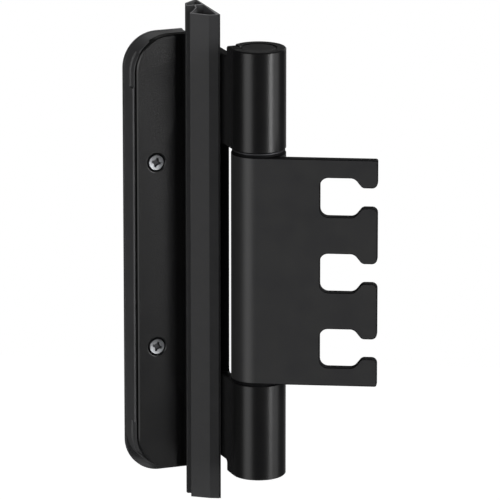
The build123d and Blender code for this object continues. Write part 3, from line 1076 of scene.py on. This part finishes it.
@dataclass
class MortiseBody:
    """The die-cast body let into the door edge: a shallow tray with a rim, on a back flange."""

    edge: float = 16.5
    reach: float = 39.4
    top: float = 81.9
    bottom: float = -81.0
    corner: float = 13.0
    rim_depth: float = 25.0
    floor_depth: float = 27.0
    back_depth: float = 35.6
    rim_width: float = 1.15
    rim_gap: float = 0.05
    relief_width: float = 0.6
    relief_depth: float = 28.0
    relief_bevel: float = 0.2
    relief_slope: float = 0.9
    relief_start: float = 63.0
    relief_turn: float = math.radians(35)
    relief_ramp: float = 0.01
    flange: float = 1.9
    flange_drop: float = 3.5
    flange_lip: float = 0.15
    bedding: float = 0.2
    edge_round: float = 0.25
    edge_steps: int = 4
    support: float = 0.1
    bore_radius: float = 2.6
    sink_radius: float = 4.8
    fixing_reach: float = 27.25
    fixing_spacings: tuple[float, float] = (34.0, 128.0)
    corner_steps: int = 24

    @property
    def middle(self) -> float:
        """Mid-height of the body."""
        return (self.top + self.bottom) / 2

    def outline(self, bottom: float, inset: float, stations: np.ndarray) -> np.ndarray:
        """Give the body's outline, square along the open edge and round at the free corners.

        Args:
            bottom: Height of its lower edge.
            inset: How far it lies inside the flange's outline.
            stations: Heights that get a point of their own.

        Returns:
            Points in reach and height, the first and last at the ends of the open edge.
        """
        near, far = self.edge + inset, self.reach - inset
        low, high = bottom + inset, self.top - inset
        corners = [(near, low), (far, low), (far, high), (near, high)]
        whole = rounded_outline(corners, [self.corner - inset] * 4, steps=self.corner_steps)
        quarter = len(whole) // 4
        free = with_stations(whole[quarter:-quarter, ::-1], stations, closed=False)[:, ::-1]
        return np.vstack([[near, low], free, [near, high]])

    def rim_room(self, outline: np.ndarray) -> np.ndarray:
        """Give the rim's width at each point, which is the room beside the face plate.

        The plate is a rectangle rounded by r, so its distance from a point p is
        |max(|p - centre| - half size + r, 0)| - r.

        Args:
            outline: The body's outline.

        Returns:
            The width at each point, rim_width at most.
        """
        half = np.array([FACE.reach / 2, (COLUMN.plate_top - COLUMN.plate_bottom) / 2])
        beyond = np.abs(outline - [half[0], COLUMN.plate_middle]) - half + FACE.corner
        distance = np.linalg.norm(np.maximum(beyond, 0), axis=1) - FACE.corner
        return np.clip(distance - self.rim_gap, 0, self.rim_width)

    def tray(self) -> np.ndarray:
        """Carry the rim's section round the body.

        The section runs from the tray's floor up the rim, over it and down the outer wall, with
        inset = min(section inset, room beside the plate). It is pressed down to the floor where
        there is no room, so depth = max(section depth, floor depth) there. In the two reliefs
        the lip's corner is bevelled, and what lies outside it is lowered to the relief's depth
        and slopes on outwards by relief_slope times its distance from the lip.

        Returns:
            Array of rows by points by (reach, height, depth).
        """
        rim, r, flat = self.rim_depth, self.edge_round, self.support
        angle = np.linspace(0, QUARTER_TURN, self.edge_steps + 1)
        rows = np.vstack([
            [(self.rim_width, self.floor_depth), (self.rim_width, rim + flat)],
            [(self.rim_width - flat, rim), (self.relief_width + self.relief_bevel, rim)],
            [(self.relief_width, rim)] * 2,
            [(r + flat, rim)],
            np.stack([r * (1 - np.sin(angle)), rim + r * (1 - np.cos(angle))], 1),
            [(0.0, rim + r + flat), (0.0, self.back_depth - self.flange + self.bedding)],
        ])
        lip_row, first_outside = 4, 5
        arc_height = (self.top - self.bottom) / 2 - self.corner
        start, end = self.relief_start, arc_height + self.corner * math.sin(self.relief_turn)
        ramp = self.relief_ramp
        steps = np.array([start - ramp, start + ramp, end - ramp, end + ramp])
        stations = self.middle + np.concatenate([-steps, steps])
        outline = self.outline(self.bottom, self.flange_lip, stations)
        room = self.rim_room(outline)
        inset = np.minimum(rows[:, :1], room)[..., None]
        points = outline[None] + inset * inset_rays(outline)[None]
        far_off = np.abs(outline[:, 1] - self.middle)
        relieved = (far_off > start) & (far_off < end) & (outline[:, 0] > self.edge + self.corner)
        depth = np.maximum(rows[:, 1:], np.where(room > 0, 0.0, self.floor_depth))
        depth[lip_row] += np.where(relieved, self.relief_bevel, 0.0)
        slope = self.relief_slope * (self.relief_width - rows[first_outside:-1, :1])
        depth[first_outside:-1] += np.where(relieved, self.relief_depth - rim + slope, 0.0)
        return np.concatenate([points, depth[..., None]], 2)

    def holes(self, rows: Pairs) -> list[np.ndarray]:
        """Give the four fixing holes' edge bands from the radius and depth of their rows."""
        return [
            bore_band(self.fixing_reach, COLUMN.plate_middle + side * spacing / 2, np.array(rows))
            for spacing in self.fixing_spacings
            for side in (-1, 1)
        ]

    def place(self, reach: np.ndarray, height: np.ndarray, depth: np.ndarray) -> np.ndarray:
        """Put reach, height and depth into frame coordinates."""
        return door_side(reach, -depth, height)

    def build(self) -> None:
        """Make the tray and the flange as two closed shells of one piece."""
        start, bore = self.back_depth - self.flange, self.bore_radius
        foot, neck = start + self.bedding, self.sink_radius - self.flange
        tray_holes = self.holes([(bore, self.floor_depth), (bore, start), (neck + self.bedding, foot)])
        tray, tray_faces = clad(self.tray(), tray_holes, NO_BENDS, self.place)
        flange_rows = edge_rows(self.flange, self.edge_round, self.edge_round) + [0, start]
        outline = self.outline(self.bottom - self.flange_drop, 0.0, NO_BENDS)
        flange_holes = self.holes([(neck, start), (self.sink_radius, self.back_depth)])
        flange, flange_faces = clad(edge_band(outline, flange_rows), flange_holes, NO_BENDS, self.place)
        faces = tray_faces + [group + len(tray) for group in flange_faces]
        mesh = np.concatenate([tray, flange]), faces
        finishes = [CAST_COAT.build()] * len(faces)
        add_piece("cast_mortise_body", mesh, finishes, "door_side", "mortise_body")


@dataclass
class Seal:
    """The hollow rubber seal: two chambers, a lip parted by a groove, mitred at the top.

    long_run stands for the seal's length while its edges are worked out: depths in its first
    half count up from the bottom, and those in its second half count down from the mitre.
    """

    wall: float = 0.45
    web_gap: float = 0.35
    leaf_gap: float = 1.4
    foot_setback: float = 5.2
    foot_width: float = 4.3
    foot_flare: float = 0.2
    foot_height: float = 1.7
    groove_depth: float = 2.7
    groove_height: float = 2.9
    neck_height: float = 1.75
    head_root: float = 0.65
    head_overhang: float = 1.65
    head_reach: float = 9.7
    head_depth: float = 6.15
    lip_width: float = 0.35
    lip_groove: float = 0.27
    lip_groove_depth: float = 0.36
    break_share: float = 0.68
    break_rise: float = 0.5
    outer_round: float = 0.22
    lip_round: float = 0.08
    inner_round: float = 0.3
    tight_round: float = 0.1
    cut_round: float = 0.04
    above: float = 10.5
    cut_rise: float = 0.41
    cut_lean: float = 0.27
    long_run: float = 100.0

    def corners(self) -> dict[str, np.ndarray]:
        """Give the section's named corners in door plan coordinates.

        Returns:
            Each corner's name and its (u, v), anticlockwise.
        """
        foot_v = -FACE.depth
        heel = PLATE.knuckle_radius + self.foot_setback
        toe = heel + self.foot_width
        shoulder = np.array([toe + self.foot_flare, foot_v + self.foot_height])
        lip = np.array([PLATE.knuckle_radius + self.web_gap, -PLATE.knuckle_radius - self.leaf_gap])
        head = lip + [self.head_reach, -self.head_depth]
        groove = shoulder[0] - self.groove_depth
        bead = lip + [self.lip_width + self.lip_groove, 0.0]
        wall = bead - head
        bulge = np.array([wall[1], -wall[0]]) / np.linalg.norm(wall) * self.break_rise
        return {
            "heel": np.array([heel, foot_v]),
            "toe": np.array([toe, foot_v]),
            "shoulder": shoulder,
            "groove": np.array([groove, foot_v + self.groove_height]),
            "neck": np.array([groove, head[1] - self.neck_height]),
            "root": head - [self.head_overhang, self.head_root],
            "head": head,
            "break": head + self.break_share * wall + bulge,
            "bead": bead,
            "lip": lip,
        }

    @staticmethod
    def inner(corners: Sequence[np.ndarray], walls: Sequence[float]) -> np.ndarray:
        """Move each side of a closed anticlockwise polygon inwards by its wall and cross them again.

        Args:
            corners: The polygon.
            walls: Distance for the side that starts at each corner.

        Returns:
            The inner polygon's corners.
        """
        start = np.array(corners)
        run = np.roll(start, -1, 0) - start
        run /= np.linalg.norm(run, axis=1, keepdims=True)
        normal = np.stack([-run[:, 1], run[:, 0]], 1)
        moved = start + normal * np.array(walls)[:, None]
        before, run_before = np.roll(moved, 1, 0), np.roll(run, 1, 0)
        gap = moved - before
        crossed = run_before[:, 0] * run[:, 1] - run_before[:, 1] * run[:, 0]
        share = (gap[:, 0] * run[:, 1] - gap[:, 1] * run[:, 0]) / crossed
        return before + run_before * share[:, None]

    def chambers(self) -> list[np.ndarray]:
        """Give the two chambers' outlines, one in the foot and one in the head.

        The wall between them goes on from the groove's floor to the long wall, and lies on
        the foot's side of that line.

        Returns:
            The foot's outline and the head's, anticlockwise.
        """
        at = self.corners()
        floor, long_wall = at["groove"] - at["shoulder"], at["lip"] - at["heel"]
        offset = at["heel"] - at["shoulder"]
        crossed = floor[0] * long_wall[1] - floor[1] * long_wall[0]
        share = (offset[0] * long_wall[1] - offset[1] * long_wall[0]) / crossed
        meeting = at["shoulder"] + share * floor
        foot = self.inner([at["heel"], at["toe"], at["shoulder"], meeting], [self.wall] * 4)
        names = ["groove", "neck", "root", "head", "break", "bead"]
        head = self.inner([meeting, *(at[name] for name in names)], [0.0] + [self.wall] * len(names))
        wide, tight = self.inner_round, self.tight_round
        return [
            rounded_outline(foot, [wide, tight, tight, wide], support=0.1),
            rounded_outline(head, [wide, wide, wide, tight, tight, wide, tight], support=0.1),
        ]

    def outline(self) -> np.ndarray:
        """Give the section's outer outline, with the groove that parts the lip from the bead.

        Returns:
            Points in door plan coordinates, anticlockwise.
        """
        at = self.corners()
        groove_in = at["bead"] - [0.0, self.lip_groove_depth]
        groove_out = groove_in - [self.lip_groove, 0.0]
        lip_edge = at["bead"] - [self.lip_groove, 0.0]
        names = ["heel", "toe", "shoulder", "groove", "neck", "root", "head", "break"]
        fine = [at["bead"], groove_in, groove_out, lip_edge, at["lip"]]
        corners = [at[name] for name in names] + fine
        radii = [self.outer_round] * len(names) + [self.lip_round] * len(fine)
        return rounded_outline(corners, radii, support=0.05)

    def place(self, u: np.ndarray, v: np.ndarray, depth: np.ndarray) -> np.ndarray:
        """Stand the section up between its square foot and its mitred top.

        The lower half of the depths counts up from the bottom, the upper half counts down
        from the sloping plane z = top - lean (u - lip u) - rise (v - lip v).

        Args:
            u: Distance along the door leaf.
            v: Distance in front of the pivot axis.
            depth: Depth along the seal, from nought to long_run.

        Returns:
            Points in frame coordinates.
        """
        lip = self.corners()["lip"]
        lowering = self.cut_lean * (u - lip[0])
        top = COLUMN.knuckle_top + self.above - lowering - self.cut_rise * (v - lip[1])
        bottom = box_mm("seal_profile")[0, 2]
        height = np.where(depth < self.long_run / 2, bottom + depth, top + depth - self.long_run)
        return door_side(u, v, height)

    def build(self) -> None:
        """Make the seal from its section, with finishes for its skin and cut ends, and painted light inside its
        chambers.
        """
        rows = edge_rows(self.long_run, self.cut_round, self.cut_round, support=0.03, steps=2)
        outer = edge_band(self.outline(), rows)
        holes = [edge_band(chamber, rows, outwards=True) for chamber in self.chambers()]
        points, (walls, ends) = clad(outer, holes, NO_BENDS, self.place)
        outside = (len(rows) - 1) * outer.shape[1]
        mesh = points, [walls[:outside], ends, walls[outside:]]
        # The chambers' walls get the paler rubber that is painted light.
        finishes = [SEAL_SKIN.build(), SEAL_CUT.build(), SEAL_CHAMBER_PAINTED_LIGHT.build()]
        add_piece("hollow_rubber_seal", mesh, finishes, "door_side", "seal_profile")


@dataclass
class LeafScrew:
    """A countersunk machine screw with a cross recess and a rolled thread.

    edge holds the two points of the rim's chamfer, as offsets from the head's radius and top.
    """

    head_radius: float = 2.85
    head_sunk: float = 0.15
    land: float = 0.28
    edge: Pairs = ((-0.04, -0.02), (0.0, -0.06))
    edge_break: float = 0.12
    cone_foot: float = 0.05
    shank_radius: float = 1.75
    length: float = 9.0
    point: float = 1.2
    point_radius: float = 0.25
    pitch: float = 0.7
    thread_depth: float = 0.3
    thread_start: float = 0.2
    thread_rows: int = 90
    recess_length: float = 3.5
    recess_width: float = 0.95
    recess_core: float = 1.2
    recess_depth: float = 0.9
    recess_wall: float = 0.2
    crown: float = -0.2
    turn: float = math.radians(18)
    head_rows: int = 44
    sides: int = 128

    def recess(self, x: np.ndarray, y: np.ndarray) -> np.ndarray:
        """Give the recess's depth at a point of the head.

        It is a round core joined by two crossed arms. Each is full depth inside its outline
        and rises to nothing over the width of its wall.

        Args:
            x: Place across the head.
            y: Place up the head.

        Returns:
            The depth, nought outside the recess.
        """
        beyond = [np.hypot(x, y) - self.recess_core]
        for turn in (self.turn, self.turn + QUARTER_TURN):
            along = np.abs(x * math.cos(turn) + y * math.sin(turn)) - self.recess_length / 2
            across = np.abs(y * math.cos(turn) - x * math.sin(turn)) - self.recess_width / 2
            beyond.append(np.maximum(along, across))
        return self.recess_depth * np.clip(-np.minimum.reduce(beyond) / self.recess_wall, 0, 1)

    def surface(self) -> np.ndarray:
        """Work out the screw standing head up on the origin.

        Rows run from the head's centre over its crown, down the cone and along the shank,
        where the radius dips by the thread depth times a triangle wave of
        height / pitch + angle / full turn, and end at the point.

        Returns:
            Array of rows by sides by (x, y, height).
        """
        head, shank, foot = self.head_radius, self.shank_radius, self.cone_foot
        top = np.linspace(0, head - self.edge_break, self.head_rows)
        cone_end = -self.land - head + shank
        thread_top = cone_end - self.thread_start
        thread = np.linspace(thread_top, self.point - self.length, self.thread_rows)
        profile = np.concatenate([
            np.column_stack([top, np.zeros_like(top)]),
            np.array(self.edge) + [head, 0],
            [(head, -self.land), (shank + foot, cone_end + foot), (shank, cone_end - foot)],
            np.column_stack([np.full_like(thread, shank), thread]),
            [(self.point_radius, -self.length), (0.0, -self.length)],
        ])
        angle = np.linspace(0, FULL_TURN, self.sides, endpoint=False)[None]
        radius, height = (np.repeat(column[:, None], self.sides, 1) for column in profile.T)
        wave = np.abs(((height / self.pitch + angle / FULL_TURN) % 1) * 2 - 1)
        threaded = (height <= thread_top) & (height > -self.length)
        radius = np.where(threaded, radius - self.thread_depth * wave, radius)
        x, y = radius * np.cos(angle), radius * np.sin(angle)
        crown = self.crown * (1 - (radius / head) ** 2)
        on_top = np.arange(len(profile))[:, None] < len(top)
        height = np.where(on_top, height + crown - self.crown - self.recess(x, y), height)
        return np.stack([x, y, height], -1)

    def build(self, name: str, node: str, reach: float, height: float) -> None:
        """Make one screw and seat it in the face plate.

        Args:
            name: The piece's name.
            node: The CAD node that it stands for.
            reach: Its place along the door leaf.
            height: Its height.
        """
        local = self.surface()
        rows, sides = local.shape[:2]
        seat = door_side(np.array(reach), np.array(-(FACE.depth + self.head_sunk)), np.array(height))
        points = seat + local[..., :1] * DOOR_U + local[..., 1:2] * UP + local[..., 2:] * DOOR_V
        faces = grid_faces(rows, sides, closed_columns=True)
        flat = local.reshape(-1, 3)
        # Faces deep in the recess get the zinc that is painted dark as shade.
        recess_shade = self.recess(flat[:, 0], flat[:, 1]) > self.recess_depth / 3
        inner = recess_shade[faces].all(1) & (faces.max(1) < self.head_rows * sides)
        mesh = points.reshape(-1, 3), [faces[~inner], faces[inner]]
        finishes = [SCREW_ZINC.build(), RECESS_SHADE_ZINC.build()]
        add_piece(name, mesh, finishes, "door_side", node)


@dataclass
class PivotColumn:
    """The turned and moulded parts that sit on the pivot axis."""

    pin_radius: float = 5.0
    running: float = 0.03
    fit: float = 0.02
    pin_round: float = 0.8
    flange_radius: float = 9.7
    bush_length: float = 20.0
    washer_radius: float = 9.5
    cap_clearance: float = 0.25
    cap_disc: float = 1.6
    cap_wall: float = 1.2
    cap_round: float = 0.35
    cap_inner_round: float = 0.3
    rim_round: float = 0.2
    edge_round: float = 0.12

    def pin(self) -> None:
        """Make the ground pin with rounded ends."""
        low, high = box_mm("hinge_pin")[:, 2]
        profile = solid_half([(self.pin_radius, low), (self.pin_radius, high)], [self.pin_round] * 2)
        mesh = turned(profile, ring=False)
        add_piece("ground_hinge_pin", mesh, [PIN_STEEL.build()], "door_side", "hinge_pin")

    def bush(self, name: str, node: str, seat: float, outward: int) -> None:
        """Make one flanged bearing bush.

        Args:
            name: The piece's name.
            node: The CAD node that it stands for.
            seat: Height of the knuckle's end that the flange lies on.
            outward: 1 for the upper end, -1 for the lower.
        """
        bore, sleeve = self.pin_radius + self.running, PLATE.bore_radius - self.fit
        corners = [
            (bore, -self.bush_length),
            (sleeve, -self.bush_length),
            (sleeve, 0.0),
            (self.flange_radius, 0.0),
            (self.flange_radius, BUSH_FLANGE),
            (bore, BUSH_FLANGE),
        ]
        profile = rounded_outline(corners, [self.edge_round] * len(corners), support=0.1)
        profile = profile * [1, outward] + [0, seat]
        add_piece(name, turned(profile), [BUSH_PLASTIC.build()], "frame_side", node)

    def washer(self) -> None:
        """Make the thrust washer with its tumbled edges."""
        node = "upper_thrust_washer"
        low, high = box_mm(node)[:, 2]
        bore = self.pin_radius + self.running
        corners = [(bore, low), (self.washer_radius, low), (self.washer_radius, high), (bore, high)]
        mesh = turned(rounded_outline(corners, [self.edge_round] * 4, support=0.03))
        finishes = [WASHER_STEEL.build()]
        add_piece("steel_thrust_washer", mesh, finishes, "frame_side", node)

    def cap(self, name: str, node: str, inward: int) -> None:
        """Make one cup-shaped plug, its disc just inside the knuckle's end.

        Args:
            name: The piece's name.
            node: The CAD node that it stands for.
            inward: -1 for the upper cap, 1 for the lower.
        """
        low, high = box_mm(node)[:, 2]
        radius, depth = PLATE.bore_radius - self.cap_clearance, high - low
        inner = radius - self.cap_wall
        corners = [(inner, -self.cap_disc), (inner, -depth), (radius, -depth), (radius, 0.0)]
        radii = [self.cap_inner_round, self.rim_round, self.rim_round, self.cap_round]
        profile = solid_half(corners, radii) * [1, -inward] + [0, high if inward < 0 else low]
        mesh = turned(profile, ring=False)
        add_piece(name, mesh, [CAP_PLASTIC.build()], "door_side", node)

    def build(self) -> None:
        """Make every turned part of the column."""
        self.pin()
        self.bush("upper_flanged_bush", "upper_bearing_bush", COLUMN.leaf_top, 1)
        self.bush("lower_flanged_bush", "lower_bearing_bush", COLUMN.leaf_bottom, -1)
        self.washer()
        self.cap("upper_knuckle_cap", "top_cap", -1)
        self.cap("lower_knuckle_cap", "bottom_cap", 1)


def dress(node: str, material: bpy.types.Material) -> None:
    """Give a CAD node its finish.

    Args:
        node: The node's name.
        material: The finish.
    """
    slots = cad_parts[node].data.materials
    slots.clear()
    slots.append(material)
    log.info("%s carries %s", node, material.name)


@dataclass(frozen=True)
class Lamp:
    """A soft lamp: its angles round the hinge, its size in metres, its watts and its spread."""

    azimuth: float
    elevation: float
    width: float
    height: float
    watts: float
    spread: float = 80.0


class StudioLamp(Enum):
    """The lamps that hang round the hinge."""

    RIGHT_STRIP = Lamp(azimuth=57.0, elevation=12.0, width=0.18, height=1.2, watts=4.8)
    RIGHT_WING = Lamp(azimuth=82.0, elevation=5.0, width=0.50, height=1.5, watts=1.3)
    LEFT_BOX = Lamp(azimuth=-41.0, elevation=5.0, width=0.70, height=1.4, watts=2.9)
    BACK_STRIP = Lamp(azimuth=160.0, elevation=8.0, width=0.60, height=1.2, watts=0.25)
    BACK_BOX = Lamp(azimuth=182.0, elevation=50.0, width=0.90, height=0.60, watts=1.0, spread=90.0)


@dataclass
class Studio:
    """Pale floor, soft studio light and the camera at the photograph's angle."""

    azimuth_deg: float = 4.99
    elevation_deg: float = 15.03
    distance_mm: float = 2000.0
    aim_mm: tuple[float, float, float] = (-3.1, 0.0, 5.4)
    focal_px: float = 5512.0
    image_px: float = 500.0
    sensor_mm: float = 36.0
    clip: tuple[float, float] = (0.05, 20.0)
    lamp_distance: float = 1.05
    ambient: float = 0.09
    mirrored: float = 0.02
    floor_drop: float = 0.62
    floor_size: float = 4.0
    floor_colour: str = "#d0d0d0"
    floor_glow: float = 0.95

    def toward(self, azimuth_deg: float, elevation_deg: float) -> Vector:
        """Give the unit vector from the hinge towards a viewer at these angles."""
        a, e = math.radians(azimuth_deg), math.radians(elevation_deg)
        return Vector((math.sin(a) * math.cos(e), -math.cos(a) * math.cos(e), math.sin(e)))

    def aim(self, thing: bpy.types.Object, back: Vector, target: Vector, distance: float) -> None:
        """Put an object at a distance along a direction, looking back at the target.

        Args:
            thing: The camera or lamp.
            back: Unit vector from the target to the object.
            target: The point that it looks at.
            distance: Its distance from the target in metres.
        """
        thing.location = target + back * distance
        thing.rotation_mode = "QUATERNION"
        thing.rotation_quaternion = (-back).to_track_quat("-Z", "Y")

    def camera(self) -> None:
        """Make the camera from the fitted angle, distance and focal length."""
        data = bpy.data.cameras.new("camera")
        data.sensor_width = self.sensor_mm
        data.lens = self.focal_px * self.sensor_mm / self.image_px
        data.clip_start, data.clip_end = self.clip
        camera = new_object("camera", data)
        back = self.toward(self.azimuth_deg, self.elevation_deg)
        self.aim(camera, back, Vector(self.aim_mm) * MM, self.distance_mm * MM)
        bpy.context.scene.camera = camera

    def lamps(self) -> None:
        """Hang the soft lamps."""
        for place in StudioLamp:
            lamp = place.value
            data = bpy.data.lights.new(place.name.lower(), "AREA")
            data.shape = "RECTANGLE"
            data.size, data.size_y = lamp.width, lamp.height
            data.energy = lamp.watts
            data.spread = math.radians(lamp.spread)
            hung = new_object(place.name.lower(), data)
            self.aim(hung, self.toward(lamp.azimuth, lamp.elevation), Vector(), self.lamp_distance)

    def world(self) -> None:
        """Light all round softly, keep what gloss mirrors dim, and show white to the camera."""
        world = bpy.data.worlds.new("studio")
        tree = fresh_tree(world)
        path = add_node(tree, "ShaderNodeLightPath", {}).outputs
        soft, dim, white = (
            add_node(tree, "ShaderNodeBackground", {"Color": (1, 1, 1, 1), "Strength": glow}).outputs[0]
            for glow in (self.ambient, self.mirrored, 1.0)
        )
        lit = add_node(tree, "ShaderNodeMixShader", {0: path["Is Glossy Ray"], 1: soft, 2: dim})
        choice = {0: path["Is Camera Ray"], 1: lit.outputs[0], 2: white}
        seen = add_node(tree, "ShaderNodeMixShader", choice)
        add_node(tree, "ShaderNodeOutputWorld", {"Surface": seen.outputs[0]})
        bpy.context.scene.world = world

    def floor(self) -> None:
        """Lay the pale floor, which the camera sees as white."""
        half = self.floor_size / 2
        data = bpy.data.meshes.new("pale_floor")
        corners = [(-half, -half), (half, -half), (half, half), (-half, half)]
        data.from_pydata([(x, y, -self.floor_drop) for x, y in corners], [], [(0, 1, 2, 3)])
        material = bpy.data.materials.new("pale_matt_paint")
        tree = fresh_tree(material)
        paint = add_node(tree, "ShaderNodeBsdfDiffuse", {"Color": linear(self.floor_colour)}).outputs[0]
        path = add_node(tree, "ShaderNodeLightPath", {}).outputs
        glow, none = (
            add_node(tree, "ShaderNodeEmission", {"Strength": strength}).outputs[0]
            for strength in (self.floor_glow, 0.0)
        )
        seen = add_node(tree, "ShaderNodeMixShader", {0: path["Is Camera Ray"], 1: none, 2: glow})
        both = add_node(tree, "ShaderNodeAddShader", {0: paint, 1: seen.outputs[0]})
        add_node(tree, "ShaderNodeOutputMaterial", {"Surface": both.outputs[0]})
        data.materials.append(material)
        new_object("pale_floor", data)

    def build(self) -> None:
        """Make the camera, lamps, world and floor."""
        self.camera()
        self.lamps()
        self.world()
        self.floor()
        bpy.context.scene.view_settings.view_transform = "Standard"


def main() -> None:
    """Build the pieces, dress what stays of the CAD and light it."""
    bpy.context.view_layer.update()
    FrameLeaf().build()
    leaf = DoorLeaf()
    leaf.build()
    MortiseBody().build()
    Seal().build()
    screw = LeafScrew()
    for end, side in (("upper", 1), ("lower", -1)):
        height = COLUMN.plate_middle + side * leaf.screw_spacing / 2
        screw.build(f"{end}_countersunk_screw", f"{end}_leaf_screw", leaf.screw_reach, height)
    PivotColumn().build()
    sleeve_steel = PIN_STEEL.build()
    for node in ("upper_pin_sleeve", "lower_pin_sleeve", "pin_lock_screw"):
        dress(node, sleeve_steel)
    Studio().build()
    bpy.context.view_layer.update()


if __name__ == "__main__":
    main()
